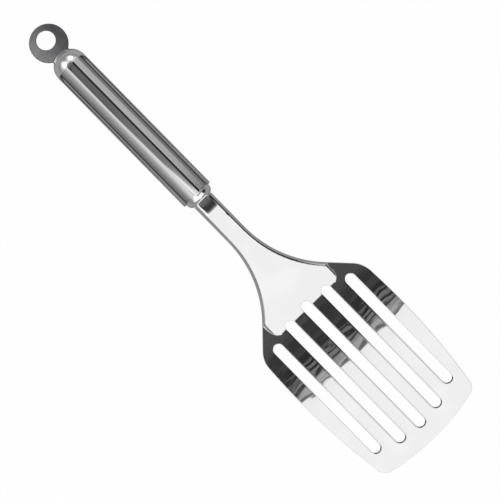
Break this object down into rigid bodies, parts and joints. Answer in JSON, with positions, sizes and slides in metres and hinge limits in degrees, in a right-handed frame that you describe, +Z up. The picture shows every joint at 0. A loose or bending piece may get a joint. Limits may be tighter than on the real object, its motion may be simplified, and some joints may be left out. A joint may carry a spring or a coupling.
{
  "type": "fish spatula",
  "caption": "Stainless fish spatula: slotted blade with rounded corners, channel neck, fluted round tube handle and a flat hanging eye.",
  "frame": {"origin": "middle of the bounding box in plan, on the surface that the spatula lies on", "axes": "+X from the hanging eye to the blade, +Z up out of that surface, food side up, +Y to the left of the blade seen from the handle"},
  "size_m": [0.3254, 0.082, 0.0295],
  "materials": {
    "polished_sheet": "mirror polished stainless sheet",
    "satin_tube": "satin stainless tube",
    "collar_steel": "turned and polished stainless",
    "dome_steel": "polished stainless",
    "satin_plate": "fine satin stainless plate",
    "weld_bead": "as welded"
  },
  "bodies": {
    "root": {"blade": "polished_sheet", "handle_tube": "satin_tube", "front_collar": "collar_steel", "end_dome": "dome_steel", "hanging_eye": "satin_plate", "tang_weld": "weld_bead", "eye_weld": "weld_bead"}
  },
  "joints": []
}
